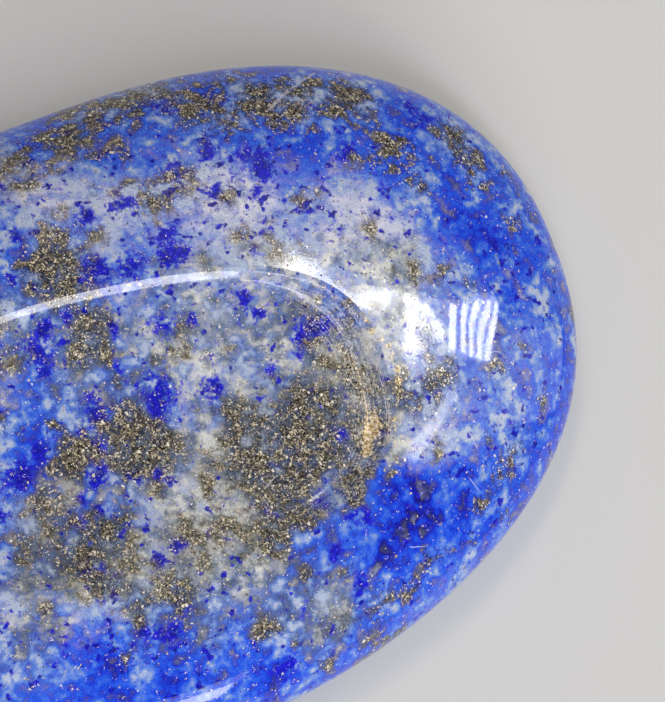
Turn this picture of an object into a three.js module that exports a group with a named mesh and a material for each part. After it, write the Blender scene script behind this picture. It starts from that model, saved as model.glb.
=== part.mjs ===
// A worry stone of polished lapis lazuli: one oval pebble with a thumb hollow ground into its crown.
// Millimetres, +Z up. The long axis lies along X, and the stone rests on its small flat spot at Z = 0,
// with the origin under the middle of its plan.

import * as THREE from 'three';
import { mergeVertices } from 'three/addons/utils/BufferGeometryUtils.js';

// Plan: a superellipse, a little fuller on its -Y side.
const HALF_LENGTH = 23.5;
const HALF_WIDTH = 14.95;
const PLAN_SQUARENESS = 2.31;
const PLAN_FULLNESS = 0.02;

// Section: a domed crown over a flatter base, which meet at the girdle.
const GIRDLE_HEIGHT = 3.8;
const CROWN_RISE = 5.2;
const CROWN_ROUNDNESS = 0.9;
const BASE_ROUNDNESS = 0.7;
const REST_SPOT_SHARE = 0.35;

// Thumb hollow, in plan: an oval turned a little from the stone's long axis, and blunter at its +X end.
const HOLLOW_CENTRE = new THREE.Vector2(-1.77, -1.15);
const HOLLOW_TURN = THREE.MathUtils.degToRad(-8.2);
const HOLLOW_HALF_LENGTH = 12.8;
const HOLLOW_HALF_WIDTH = 6.75;
const HOLLOW_SQUARENESS = 2.5;
const HOLLOW_BLUNTNESS = 0.28;

// Thumb hollow, in section: a shallow bowl inside a narrow, steep wall. Widths across the wall are
// shares of the hollow's reach.
const BOWL_DEPTH = 1.1;
const BOWL_CURVE = 2;
const WALL_DROP = 0.35;
const WALL_WIDTH = 0.085;
const RIM_SOFTNESS = 0.12;
const FOOT_SOFTNESS = 0.35;

// The grinding wheel stood still at the hollow's head, its +X end, so the wall is taller there.
const HEAD_DIRECTION = THREE.MathUtils.degToRad(-12);
const HEAD_SPREAD = THREE.MathUtils.degToRad(30);
const HEAD_DROP = 0.35;
const HEAD_WIDTH = 0.02;

// Along the -Y side the bowl runs out almost without a wall. The bounds say how far the heading leans
// to -Y where that side begins and where it is complete.
const PLAIN_SIDE_STARTS = 0.2;
const PLAIN_SIDE_ENDS = 0.9;
const PLAIN_SIDE_EASE = 0.85;

// Facets: steps round the stone, and rings over it.
const STEPS_ROUND = 92;
const BOWL_RINGS = 6;
const RIM_RINGS = 9;
const SHOULDER_RINGS = 11;
const BASE_RINGS = 8;
const RIM_STARTS = 0.87;
const RIM_ENDS = 1.05;
const RIM_SHARE = 0.5;
const MERGE_DISTANCE = 1e-3;

const POLISHED_LAPIS = new THREE.MeshStandardMaterial({ color: 0x2b4bb4, roughness: 0.12, metalness: 0 });

// Distance from the centre to a superellipse's edge, in the direction of the angle.
function superellipseReach(angle, halfLength, halfWidth, squareness) {
  const along = Math.abs(Math.cos(angle) / halfLength) ** squareness;
  const across = Math.abs(Math.sin(angle) / halfWidth) ** squareness;
  return (along + across) ** (-1 / squareness);
}

function planReach(angle) {
  const fullness = 1 + PLAN_FULLNESS * Math.sin(3 * angle);
  return superellipseReach(angle, HALF_LENGTH, HALF_WIDTH, PLAN_SQUARENESS) * fullness;
}

function planPoint(angle) {
  const reach = planReach(angle);
  return new THREE.Vector2(reach * Math.cos(angle), reach * Math.sin(angle));
}

function hollowReach(angle) {
  const turned = angle - HOLLOW_TURN;
  const squareness = HOLLOW_SQUARENESS + HOLLOW_BLUNTNESS * Math.cos(turned);
  return superellipseReach(turned, HOLLOW_HALF_LENGTH, HOLLOW_HALF_WIDTH, squareness);
}

// Point of the hollow's outline, grown or shrunk by the share, where 1 is its rim.
function hollowPoint(share, angle) {
  const point = new THREE.Vector2(Math.cos(angle), Math.sin(angle));
  return point.multiplyScalar(share * hollowReach(angle)).add(HOLLOW_CENTRE);
}

// How far out a point is: 0 at the middle, 1 at the plan's edge.
function planShare(point) {
  return point.length() / planReach(Math.atan2(point.y, point.x));
}

// Rise of a dome at a share of the way out: 1 in the middle, 0 at the edge, where it is upright.
function domeRise(share, roundness) {
  const edge = Math.min(share, 1) ** (2 / roundness);
  return (1 - edge) ** (roundness / 2);
}

// A value that is cut off below zero, with the corner rounded over the softness.
function softFloor(value, softness) {
  if (value <= -softness) return 0;
  if (value >= softness) return value;
  return (value + softness) ** 2 / (4 * softness);
}

// 1 on the wall at the hollow's head, fading along its sides and towards its middle.
function headShare(angle, share) {
  const away = angle - HEAD_DIRECTION;
  const turn = Math.atan2(Math.sin(away), Math.cos(away));
  return Math.min(share, 1) ** 2 * Math.exp(-((turn / HEAD_SPREAD) ** 4));
}

// 1 on the rim's plain side, fading towards the other side and towards the hollow's middle.
function plainShare(angle, share) {
  const side = THREE.MathUtils.smoothstep(-Math.sin(angle), PLAIN_SIDE_STARTS, PLAIN_SIDE_ENDS);
  return Math.min(share, 1) ** 2 * side;
}

// Depth of the grinding at a point: the wall down to its foot, and the bowl. It is negative outside.
function hollowCut(point) {
  const offset = point.clone().sub(HOLLOW_CENTRE);
  const angle = offset.angle();
  const share = offset.length() / hollowReach(angle);
  const head = headShare(angle, share);
  const acrossWall = (1 - share) / (WALL_WIDTH + HEAD_WIDTH * head);
  const downWall = acrossWall - softFloor(acrossWall - 1, FOOT_SOFTNESS);
  const wallDrop = WALL_DROP * (1 - PLAIN_SIDE_EASE * plainShare(angle, share)) + HEAD_DROP * head;
  return wallDrop * downWall + BOWL_DEPTH * (1 - share ** BOWL_CURVE);
}

function crownHeight(point) {
  const dome = GIRDLE_HEIGHT + CROWN_RISE * domeRise(planShare(point), CROWN_ROUNDNESS);
  return dome - softFloor(hollowCut(point), RIM_SOFTNESS);
}

// The base is a dome cut off level at the rest spot, which lies at Z = 0.
function baseHeight(share) {
  const spotRise = domeRise(REST_SPOT_SHARE, BASE_ROUNDNESS);
  const rise = Math.min(domeRise(share, BASE_ROUNDNESS), spotRise);
  return GIRDLE_HEIGHT * (1 - rise / spotRise);
}

// Plan point of a crown ring: the hollow's outline as far as the apron round its rim, and from there
// a blend into the stone's own outline.
function crownPlanPoint(share, angle) {
  if (share <= RIM_SHARE) return hollowPoint((RIM_ENDS * share) / RIM_SHARE, angle);
  const blend = (share - RIM_SHARE) / (1 - RIM_SHARE);
  return hollowPoint(RIM_ENDS, angle).lerp(planPoint(angle), blend);
}

// Shares of the rings on each side, from the middle out. Rings crowd towards the girdle as a sine does.
function baseRings() {
  const first = Math.asin(REST_SPOT_SHARE);
  const rings = [0];
  for (let k = 0; k < BASE_RINGS; k++) {
    rings.push(Math.sin(THREE.MathUtils.lerp(first, Math.PI / 2, k / BASE_RINGS)));
  }
  return rings;
}

function crownRings() {
  const rings = [0];
  for (let k = 1; k <= BOWL_RINGS; k++) {
    rings.push((RIM_SHARE * RIM_STARTS * k) / BOWL_RINGS / RIM_ENDS);
  }
  for (let k = 1; k <= RIM_RINGS; k++) {
    rings.push((RIM_SHARE * THREE.MathUtils.lerp(RIM_STARTS, RIM_ENDS, k / RIM_RINGS)) / RIM_ENDS);
  }
  for (let k = 1; k <= SHOULDER_RINGS; k++) {
    rings.push(RIM_SHARE + (1 - RIM_SHARE) * Math.sin((Math.PI / 2) * (k / SHOULDER_RINGS)));
  }
  return rings;
}

// A double cone carries the rings: its radius is the ring's share, and its height tells crown from base.
function ringCarrier() {
  const profile = baseRings().map((share) => new THREE.Vector2(share, share - 1));
  for (const share of crownRings().reverse()) profile.push(new THREE.Vector2(share, 1 - share));
  const carrier = new THREE.LatheGeometry(profile, STEPS_ROUND);
  return carrier.rotateX(Math.PI / 2);
}

// The poles' faces that have shrunk to a line are left out.
function withoutFlatFaces(geometry) {
  const corners = geometry.getIndex().array;
  const kept = [];
  for (let k = 0; k < corners.length; k += 3) {
    const [a, b, c] = corners.slice(k, k + 3);
    if (a !== b && b !== c && c !== a) kept.push(a, b, c);
  }
  geometry.setIndex(kept);
  return geometry;
}

function worryStoneGeometry() {
  const carrier = ringCarrier();
  const places = carrier.getAttribute('position');
  for (let k = 0; k < places.count; k++) {
    const angle = Math.atan2(places.getY(k), places.getX(k));
    const share = Math.min(Math.hypot(places.getX(k), places.getY(k)), 1);
    if (places.getZ(k) >= 0) {
      const point = crownPlanPoint(share, angle);
      places.setXYZ(k, point.x, point.y, crownHeight(point));
    } else {
      const point = planPoint(angle).multiplyScalar(share);
      places.setXYZ(k, point.x, point.y, baseHeight(share));
    }
  }
  carrier.deleteAttribute('normal');
  carrier.deleteAttribute('uv');
  const stone = withoutFlatFaces(mergeVertices(carrier, MERGE_DISTANCE));
  stone.computeBoundingBox();
  const middle = stone.boundingBox.getCenter(new THREE.Vector3());
  stone.translate(-middle.x, -middle.y, 0);
  stone.computeVertexNormals();
  return stone;
}

const worryStone = new THREE.Mesh(worryStoneGeometry(), POLISHED_LAPIS);
worryStone.name = 'worry_stone';

const part = new THREE.Group();
part.add(worryStone);

export default part;
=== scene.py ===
# %% [markdown]
# # A worry stone of polished lapis lazuli
#
# The real object is one pebble of blue rock, about the length of a thumb. A lapidary has ground it to an
# oval, sunk a shallow hollow for the thumb into its top, and polished it until it shines like glass.
# There is nothing to assemble, so all the work goes into two things: a smooth shape whose highlights run
# true, and a rock whose minerals lie where they lie on this stone.
#
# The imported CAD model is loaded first. It is the fixed frame: what is made here stays in its place and size.

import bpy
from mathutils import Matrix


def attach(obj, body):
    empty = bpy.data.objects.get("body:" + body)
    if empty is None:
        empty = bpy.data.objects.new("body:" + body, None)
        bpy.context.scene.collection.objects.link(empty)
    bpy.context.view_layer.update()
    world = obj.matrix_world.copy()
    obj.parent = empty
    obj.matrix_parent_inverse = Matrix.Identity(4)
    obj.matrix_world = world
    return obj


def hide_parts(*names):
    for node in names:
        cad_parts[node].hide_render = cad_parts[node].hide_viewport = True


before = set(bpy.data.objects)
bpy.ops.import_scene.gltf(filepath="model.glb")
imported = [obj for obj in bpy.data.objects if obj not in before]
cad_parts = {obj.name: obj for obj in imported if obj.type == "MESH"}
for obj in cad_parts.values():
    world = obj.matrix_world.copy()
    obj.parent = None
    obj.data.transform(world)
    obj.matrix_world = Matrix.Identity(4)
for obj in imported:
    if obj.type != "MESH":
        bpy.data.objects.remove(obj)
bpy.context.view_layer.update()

# %% Tools that are used further on
import math

import bmesh
import bpy
import numpy as np
from mathutils import Matrix, Vector

MM = 0.001
FULL_TURN = 2 * math.pi

# %% [markdown]
# ## The camera
#
# A stone this small is looked at from close by and from steeply above. A long lens keeps its outline from
# bulging. The camera is also rolled about its own line of sight, so that the stone lies askew in its
# view. The angles could be typed into a rotation, but three of them are easy to mix up. Building the
# camera's own axes, one after the other, is plainer: backwards first, then right and up, then the roll.

# %% Camera
CAMERA_AZIMUTH = math.radians(-75)
CAMERA_ELEVATION = math.radians(68)
CAMERA_ROLL = math.radians(52.1)
CAMERA_DISTANCE = 170.7 * MM
CAMERA_TARGET = Vector((10.42, -0.54, 4.7)) * MM
LENS = 184.6
SENSOR = 36
NEAR_CLIP = 10 * MM


def add_camera():
    """Makes the scene's camera, aimed at its target and rolled."""
    level = math.cos(CAMERA_ELEVATION)
    back = Vector((
        math.sin(CAMERA_AZIMUTH) * level,
        -math.cos(CAMERA_AZIMUTH) * level,
        math.sin(CAMERA_ELEVATION),
    ))
    level_right = Vector((math.cos(CAMERA_AZIMUTH), math.sin(CAMERA_AZIMUTH), 0))
    level_up = back.cross(level_right)
    right = level_right * math.cos(CAMERA_ROLL) + level_up * math.sin(CAMERA_ROLL)
    up = level_up * math.cos(CAMERA_ROLL) - level_right * math.sin(CAMERA_ROLL)
    settings = bpy.data.cameras.new("camera")
    settings.lens = LENS
    settings.sensor_width = SENSOR
    settings.clip_start = NEAR_CLIP
    camera = bpy.data.objects.new("camera", settings)
    camera.matrix_world = Matrix((right, up, back)).transposed().to_4x4()
    camera.matrix_world.translation = CAMERA_TARGET + back * CAMERA_DISTANCE
    bpy.context.scene.collection.objects.link(camera)
    bpy.context.scene.camera = camera
    return camera


camera = add_camera()
print("Camera at, m:", tuple(round(value, 4) for value in camera.matrix_world.translation))

# %% [markdown]
# ## The outline and the section
#
# Seen from above the stone is a superellipse, an oval with slightly squarer shoulders, and a little fuller
# along one side, because it was ground by hand. From the side it is a domed crown over a flatter base, and
# the two meet upright at the girdle. A formula gives both, and one share from 0 in the middle to 1 at the
# edge says where on the oval a point is. The same sizes made the CAD solid, so the two agree everywhere.

# %% Sizes of the stone
HALF_LENGTH = 23.5 * MM
HALF_WIDTH = 14.95 * MM
PLAN_SQUARENESS = 2.31
PLAN_FULLNESS = 0.02
GIRDLE_HEIGHT = 3.8 * MM
CROWN_RISE = 5.2 * MM
CROWN_ROUNDNESS = 0.9
BASE_ROUNDNESS = 0.7
REST_SPOT_SHARE = 0.35
print("Planned plan, mm:", round(2 * HALF_LENGTH / MM, 1), "by", round(2 * HALF_WIDTH / MM, 1))

# %% Its outline and its section as formulas


def superellipse_reach(angle, half_length, half_width, squareness):
    """Distance from the middle of a superellipse to its edge, in the direction of the angle."""
    along = np.abs(np.cos(angle) / half_length) ** squareness
    across = np.abs(np.sin(angle) / half_width) ** squareness
    return (along + across) ** (-1 / squareness)


def plan_reach(angle):
    fullness = 1 + PLAN_FULLNESS * np.sin(3 * angle)
    return superellipse_reach(angle, HALF_LENGTH, HALF_WIDTH, PLAN_SQUARENESS) * fullness


def dome_rise(share, roundness):
    """Rise of a dome: 1 in the middle, and 0 at the edge, where it is upright."""
    edge = np.minimum(share, 1) ** (2 / roundness)
    return (1 - edge) ** (roundness / 2)


def base_height(share):
    """The base is a dome that is cut off level at the rest spot."""
    spot_rise = dome_rise(REST_SPOT_SHARE, BASE_ROUNDNESS)
    rise = np.minimum(dome_rise(share, BASE_ROUNDNESS), spot_rise)
    return GIRDLE_HEIGHT * (1 - rise / spot_rise)


PLAN_SAMPLES = 3600
all_round = np.linspace(0, FULL_TURN, PLAN_SAMPLES)
plan_y = plan_reach(all_round) * np.sin(all_round)
PLAN_MIDDLE = (plan_y.max() + plan_y.min()) / 2
print("The fuller side moves the middle of the plan by", round(PLAN_MIDDLE / MM, 2), "mm")

# %% [markdown]
# ## The thumb hollow
#
# The hollow is ground with the edge of a narrow wheel. That leaves a shallow bowl inside a steep wall, about
# half a millimetre wide along the sides and a little over one at the head, where the wheel stood still for
# longer and the wall is taller. The polish rounds its crest and its foot. The hollow could be cut out with a
# Boolean, but that leaves a ragged ring of small faces just where the brightest highlight runs. Lowering the
# crown by a formula keeps the mesh even. A soft floor does the rounding: below the softness nothing is cut,
# above it the whole depth, and in between the corner is a smooth bend.

# %% Sizes of the hollow
HOLLOW_X = -1.77 * MM
HOLLOW_Y = -1.15 * MM
HOLLOW_TURN = math.radians(-8.2)
HOLLOW_HALF_LENGTH = 12.8 * MM
HOLLOW_HALF_WIDTH = 6.75 * MM
HOLLOW_SQUARENESS = 2.5
HOLLOW_BLUNTNESS = 0.28
BOWL_DEPTH = 1.1 * MM
BOWL_CURVE = 2
WALL_DROP = 0.35 * MM
WALL_WIDTH = 0.085
RIM_SOFTNESS = 0.12 * MM
FOOT_SOFTNESS = 0.35
HEAD_DIRECTION = math.radians(-12)
HEAD_SPREAD = math.radians(30)
HEAD_DROP = 0.35 * MM
HEAD_WIDTH = 0.02
PLAIN_SIDE_STARTS = 0.2
PLAIN_SIDE_ENDS = 0.9
PLAIN_SIDE_EASE = 0.85
hollow_size = (2 * HOLLOW_HALF_LENGTH / MM, 2 * HOLLOW_HALF_WIDTH / MM)
print("Hollow, mm:", tuple(round(value, 1) for value in hollow_size))

# %% [markdown]
# Three shares steer the grinding. One says how far out in the hollow a point lies, from 0 in its middle to 1
# at its rim. One is 1 at the head, where the wall is taller. One is 1 along the plain side, where a thumb
# slides in and the bowl runs out almost without a wall.

# %% Shares of the hollow


def hollow_reach(angle):
    turned = angle - HOLLOW_TURN
    squareness = HOLLOW_SQUARENESS + HOLLOW_BLUNTNESS * np.cos(turned)
    return superellipse_reach(turned, HOLLOW_HALF_LENGTH, HOLLOW_HALF_WIDTH, squareness)


def plan_share(x, y):
    return np.hypot(x, y) / plan_reach(np.arctan2(y, x))


def hollow_share(x, y):
    across, along = y - HOLLOW_Y, x - HOLLOW_X
    return np.hypot(along, across) / hollow_reach(np.arctan2(across, along))


def head_share(x, y):
    """1 on the wall at the hollow's head, fading along its sides and towards its middle."""
    away = np.arctan2(y - HOLLOW_Y, x - HOLLOW_X) - HEAD_DIRECTION
    away = np.arctan2(np.sin(away), np.cos(away))
    return np.minimum(hollow_share(x, y), 1) ** 2 * np.exp(-((away / HEAD_SPREAD) ** 4))


def plain_share(x, y):
    """1 on the rim's plain side, fading towards the other side and the middle."""
    lean = -np.sin(np.arctan2(y - HOLLOW_Y, x - HOLLOW_X))
    step = np.clip((lean - PLAIN_SIDE_STARTS) / (PLAIN_SIDE_ENDS - PLAIN_SIDE_STARTS), 0, 1)
    return np.minimum(hollow_share(x, y), 1) ** 2 * step ** 2 * (3 - 2 * step)


rim_side_x = HOLLOW_X + HOLLOW_HALF_LENGTH * math.cos(HOLLOW_TURN)
rim_side_y = HOLLOW_Y + HOLLOW_HALF_LENGTH * math.sin(HOLLOW_TURN)
print("Share at the tip of the rim:", round(float(hollow_share(rim_side_x, rim_side_y)), 3))

# %% Depth of the grinding, and the crown that is left


def soft_floor(value, softness):
    """The value, cut off below zero, with the corner rounded over the softness."""
    rounded = (value + softness) ** 2 / (4 * softness)
    return np.where(value >= softness, value, np.where(value <= -softness, 0, rounded))


def hollow_cut(x, y):
    """Depth of the grinding: the wall down to its foot, and the bowl. It is negative outside."""
    share = hollow_share(x, y)
    head = head_share(x, y)
    across_wall = (1 - share) / (WALL_WIDTH + HEAD_WIDTH * head)
    down_wall = across_wall - soft_floor(across_wall - 1, FOOT_SOFTNESS)
    wall_drop = WALL_DROP * (1 - PLAIN_SIDE_EASE * plain_share(x, y)) + HEAD_DROP * head
    return wall_drop * down_wall + BOWL_DEPTH * (1 - share ** BOWL_CURVE)


def crown_height(x, y):
    dome = GIRDLE_HEIGHT + CROWN_RISE * dome_rise(plan_share(x, y), CROWN_ROUNDNESS)
    return dome - soft_floor(hollow_cut(x, y), RIM_SOFTNESS)


hollow_floor = float(crown_height(np.array(HOLLOW_X), np.array(HOLLOW_Y)))
print("Floor of the hollow lies at", round(hollow_floor / MM, 2), "mm")

# %% [markdown]
# ## The carrier: a spun double cone
#
# A sphere would do as the start of a pebble, but its rings lie where the sphere wants them. Here a profile
# is drawn from the bottom pole out to the edge and back in to the top pole, and Blender's spin turns it
# once round. The profile's own rings can then be crowded where the surface bends most, at the crest of the
# hollow and at the girdle. Each point's distance from the axis is its share of the way out.

# %% Rings of the profile
STEPS_ROUND = 540
BOWL_RINGS = 48
CREST_RINGS = 52
SHOULDER_RINGS = 52
BASE_RINGS = 30
CREST_STARTS = 0.86
CREST_ENDS = 1.05
CREST_SHARE = 0.5


def crown_rings():
    """Shares of the rings over the crown, from the top pole out to the girdle."""
    bowl = np.linspace(0, CREST_STARTS, BOWL_RINGS, endpoint=False)
    crest = np.linspace(CREST_STARTS, CREST_ENDS, CREST_RINGS, endpoint=False)
    inner = np.concatenate([bowl, crest]) * CREST_SHARE / CREST_ENDS
    outward = np.sin(np.linspace(0, math.pi / 2, SHOULDER_RINGS + 1))
    return np.concatenate([inner, CREST_SHARE + (1 - CREST_SHARE) * outward])


def base_rings():
    """Shares of the rings under the girdle, from the bottom pole out."""
    return np.sin(np.linspace(0, math.pi / 2, BASE_RINGS, endpoint=False))


def spun_carrier():
    """A double cone whose radius is the share, and whose height tells the crown from the base."""
    stone = bmesh.new()
    profile = []
    for share in base_rings():
        profile.append(stone.verts.new((share, 0, share - 1)))
    for share in crown_rings()[::-1]:
        profile.append(stone.verts.new((share, 0, 1 - share)))
    edges = [stone.edges.new(pair) for pair in zip(profile, profile[1:])]
    bmesh.ops.spin(
        stone,
        geom=profile + edges,
        cent=(0, 0, 0),
        axis=(0, 0, 1),
        dvec=(0, 0, 0),
        angle=FULL_TURN,
        steps=STEPS_ROUND,
        use_merge=True,
    )
    return stone


carrier = spun_carrier()
POLE_MERGE = 1e-5
bmesh.ops.remove_doubles(carrier, verts=carrier.verts, dist=POLE_MERGE)
bmesh.ops.recalc_face_normals(carrier, faces=carrier.faces)
print("Carrier:", len(carrier.verts), "points,", len(carrier.faces), "faces")

# %% [markdown]
# ## From the carrier to the stone
#
# Every ring inside the crest follows the hollow's outline, and from there outwards the rings blend into the
# stone's own outline. Then each point gets its height. Polishing by hand leaves very shallow waves that an
# eye only notices because reflections wobble in them. A few long sine waves in random directions, a few
# thousandths of a millimetre high, make that wobble in the shape itself. The edge of the wheel also raised a
# fine lip where the wall at the head meets the bowl, which is a narrow bell of height along that line.

# %% Polishing waves
rng = np.random.default_rng(47)
WAVE_COUNT = 14
WAVE_LENGTHS = (2.2 * MM, 6.0 * MM)
WAVE_HEIGHT = 0.0045 * MM


def polishing_waves(x, y):
    """Height of the shallow waves that the polishing wheel left."""
    lift = np.zeros_like(x)
    for _ in range(WAVE_COUNT):
        heading = rng.uniform(0, FULL_TURN)
        pitch = rng.uniform(*WAVE_LENGTHS)
        start = rng.uniform(0, FULL_TURN)
        travel = x * math.cos(heading) + y * math.sin(heading)
        lift += WAVE_HEIGHT * np.sin(travel * FULL_TURN / pitch + start)
    return lift


print("Waves:", WAVE_COUNT, "of", round(WAVE_HEIGHT / MM, 4), "mm each")

# %% The wheel's lip
LIP_SHARE = 0.865
LIP_WIDTH = 0.012
LIP_HEIGHT = 0.035 * MM


def wheel_lip(x, y):
    """A fine raised lip where the wall at the head meets the bowl, left by the edge of the wheel."""
    step = (hollow_share(x, y) - LIP_SHARE) / LIP_WIDTH
    return LIP_HEIGHT * np.exp(-(step ** 2)) * head_share(x, y)


print("Lip, mm high:", round(LIP_HEIGHT / MM, 3))

# %% Move the carrier's points to the surface of the stone


def shape_points(points):
    """Places on the stone of the carrier's points, an array of x, y and z."""
    angle = np.arctan2(points[:, 1], points[:, 0])
    share = np.minimum(np.hypot(points[:, 0], points[:, 1]), 1)
    cosine, sine = np.cos(angle), np.sin(angle)
    rim = hollow_reach(angle)
    grown = np.minimum(share / CREST_SHARE, 1) * CREST_ENDS
    blend = np.clip((share - CREST_SHARE) / (1 - CREST_SHARE), 0, 1)
    crown = points[:, 2] >= 0
    x_crown = (1 - blend) * (HOLLOW_X + grown * rim * cosine) + blend * plan_reach(angle) * cosine
    y_crown = (1 - blend) * (HOLLOW_Y + grown * rim * sine) + blend * plan_reach(angle) * sine
    x = np.where(crown, x_crown, share * plan_reach(angle) * cosine)
    y = np.where(crown, y_crown, share * plan_reach(angle) * sine)
    fade = np.sqrt(np.clip(1 - plan_share(x, y), 0, 1))
    relief = polishing_waves(x, y) * fade + wheel_lip(x, y)
    z = np.where(crown, crown_height(x, y) + relief, base_height(share))
    return np.stack([x, y - PLAN_MIDDLE, z], axis=1)


def stone_from(carrier):
    """Turns the carrier into the stone's finished mesh object."""
    mesh = bpy.data.meshes.new("polished_stone")
    carrier.to_mesh(mesh)
    carrier.free()
    flat = np.empty(len(mesh.vertices) * 3)
    mesh.vertices.foreach_get("co", flat)
    shaped = shape_points(flat.reshape(-1, 3))
    mesh.vertices.foreach_set("co", shaped.ravel())
    mesh.shade_smooth()
    mesh.update()
    stone = bpy.data.objects.new("polished_stone", mesh)
    bpy.context.scene.collection.objects.link(stone)
    return stone, shaped


stone, surface = stone_from(carrier)
print("Points on the stone:", len(surface))

# %% Check that the stone is closed, the right way out, and sized as planned
check = bmesh.new()
check.from_mesh(stone.data)
open_edges = [edge for edge in check.edges if not edge.is_manifold]
print("Open edges:", len(open_edges))
print("Volume, mm3:", round(check.calc_volume(signed=True) / MM ** 3))
print("Size, mm:", np.round((surface.max(axis=0) - surface.min(axis=0)) / MM, 2))
print("Triangles:", sum(len(face.verts) - 2 for face in check.faces))
check.free()
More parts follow.
